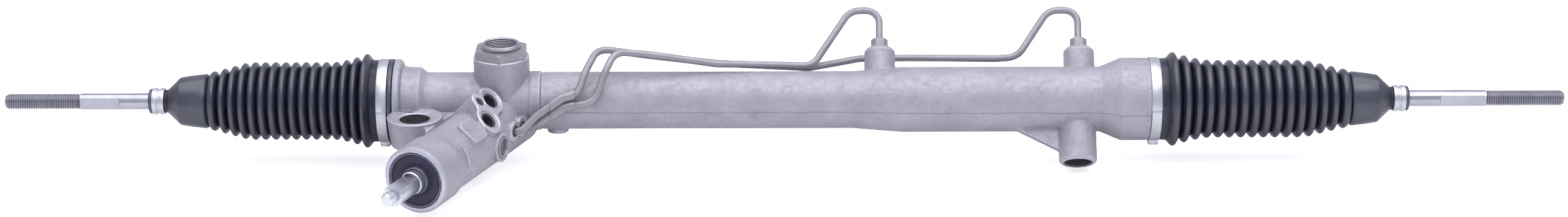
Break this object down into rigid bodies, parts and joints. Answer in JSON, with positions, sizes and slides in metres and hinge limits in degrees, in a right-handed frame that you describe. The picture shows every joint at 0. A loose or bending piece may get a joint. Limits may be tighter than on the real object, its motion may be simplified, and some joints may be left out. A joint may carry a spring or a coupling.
{
  "type": "steering rack",
  "caption": "Hydraulic power steering rack: cast housing with inclined valve tower, pleated boots, steel transfer tubes and threaded tie rods on ball joints.",
  "frame": {"origin": "centre of the left mounting bore", "axes": "+X along the rack to the end with the cylinder, +Z along the left mounting bore and the yoke, input shaft towards -Y"},
  "size_m": [1.3813, 0.2545, 0.1261],
  "materials": {
    "cast_aluminium": "cast, fine grain",
    "machined_aluminium": "machined",
    "zinc_steel": "zinc plated",
    "steel": "ground",
    "bright_rod": "bright",
    "boot_rubber": "semi-gloss",
    "seal_rubber": "satin",
    "liner_plastic": "matt"
  },
  "bodies": {
    "housing": {"pinion_housing": "cast_aluminium", "cylinder_housing": "cast_aluminium", "valve_plug": "machined_aluminium", "rack_yoke": "machined_aluminium", "yoke_liner": "liner_plastic", "yoke_ring": "seal_rubber", "yoke_spring": "steel", "yoke_plug": "machined_aluminium", "yoke_locknut": "zinc_steel", "lower_bearing_outer": "steel", "lower_bearing_balls": "steel", "lower_cap": "machined_aluminium", "upper_bearing": "steel", "pinion_seal": "seal_rubber", "input_bearing": "steel", "input_seal": "seal_rubber", "seal_snap_ring": "steel", "dust_cover": "seal_rubber", "inner_rack_seal": "seal_rubber", "rack_bushing": "liner_plastic", "outer_rack_seal": "seal_rubber", "stop_ring": "steel", "tube_nuts": "zinc_steel", "transfer_tube_front": "zinc_steel", "transfer_tube_rear": "zinc_steel", "tube_clip": "zinc_steel", "boot_left": "boot_rubber", "boot_right": "boot_rubber", "boot_clamp_left": "zinc_steel", "boot_clamp_right": "zinc_steel"},
    "rack": {"rack_bar": "steel", "rack_piston": "steel", "piston_ring": "liner_plastic", "ball_socket_left": "steel", "ball_socket_right": "steel", "lock_washer_left": "steel", "lock_washer_right": "steel"},
    "pinion": {"pinion": "steel", "valve_sleeve": "steel", "sleeve_rings": "liner_plastic", "pinion_nut": "steel", "lower_bearing_inner": "steel"},
    "steering_input": {"input_shaft": "steel", "torsion_bar": "steel", "torsion_pin": "steel"},
    "seat_left": {"ball_seat_left": "liner_plastic"},
    "seat_right": {"ball_seat_right": "liner_plastic"},
    "tie_rod_left": {"tie_rod_left": "bright_rod", "neck_clip_left": "zinc_steel"},
    "tie_rod_right": {"tie_rod_right": "bright_rod", "neck_clip_right": "zinc_steel"}
  },
  "joints": [
    {"name": "rack_slide", "type": "slide", "parent": "housing", "child": "rack", "axis": [1, 0, 0], "range_m": [-0.082, 0.062], "deforming": ["boot_left", "boot_right"]},
    {"name": "pinion_spin", "type": "hinge", "parent": "housing", "child": "pinion", "pos_m": [0.073, 0.047, 0.00537], "axis": [-0.3746, -0.9272, 0], "range_deg": [-445, 588]},
    {"name": "input_twist", "type": "hinge", "parent": "pinion", "child": "steering_input", "pos_m": [0.073, 0.047, 0.00537], "axis": [-0.3746, -0.9272, 0], "range_deg": [-5, 5], "stiffness_Nm_per_rad": 80},
    {"name": "left_rise", "type": "hinge", "parent": "rack", "child": "seat_left", "pos_m": [-0.1255, 0.047, 0.0235], "axis": [0, 1, 0], "range_deg": [-12, 12]},
    {"name": "left_swing", "type": "hinge", "parent": "seat_left", "child": "tie_rod_left", "pos_m": [-0.1255, 0.047, 0.0235], "axis": [0, 0, -1], "range_deg": [-5, 5]},
    {"name": "right_rise", "type": "hinge", "parent": "rack", "child": "seat_right", "pos_m": [0.7655, 0.047, 0.0235], "axis": [0, -1, 0], "range_deg": [-12, 12]},
    {"name": "right_swing", "type": "hinge", "parent": "seat_right", "child": "tie_rod_right", "pos_m": [0.7655, 0.047, 0.0235], "axis": [0, 0, 1], "range_deg": [-5, 5]}
  ],
  "couplings": [
    {"joint": "pinion_spin", "follows": "rack_slide", "rad_per_m": -125}
  ]
}
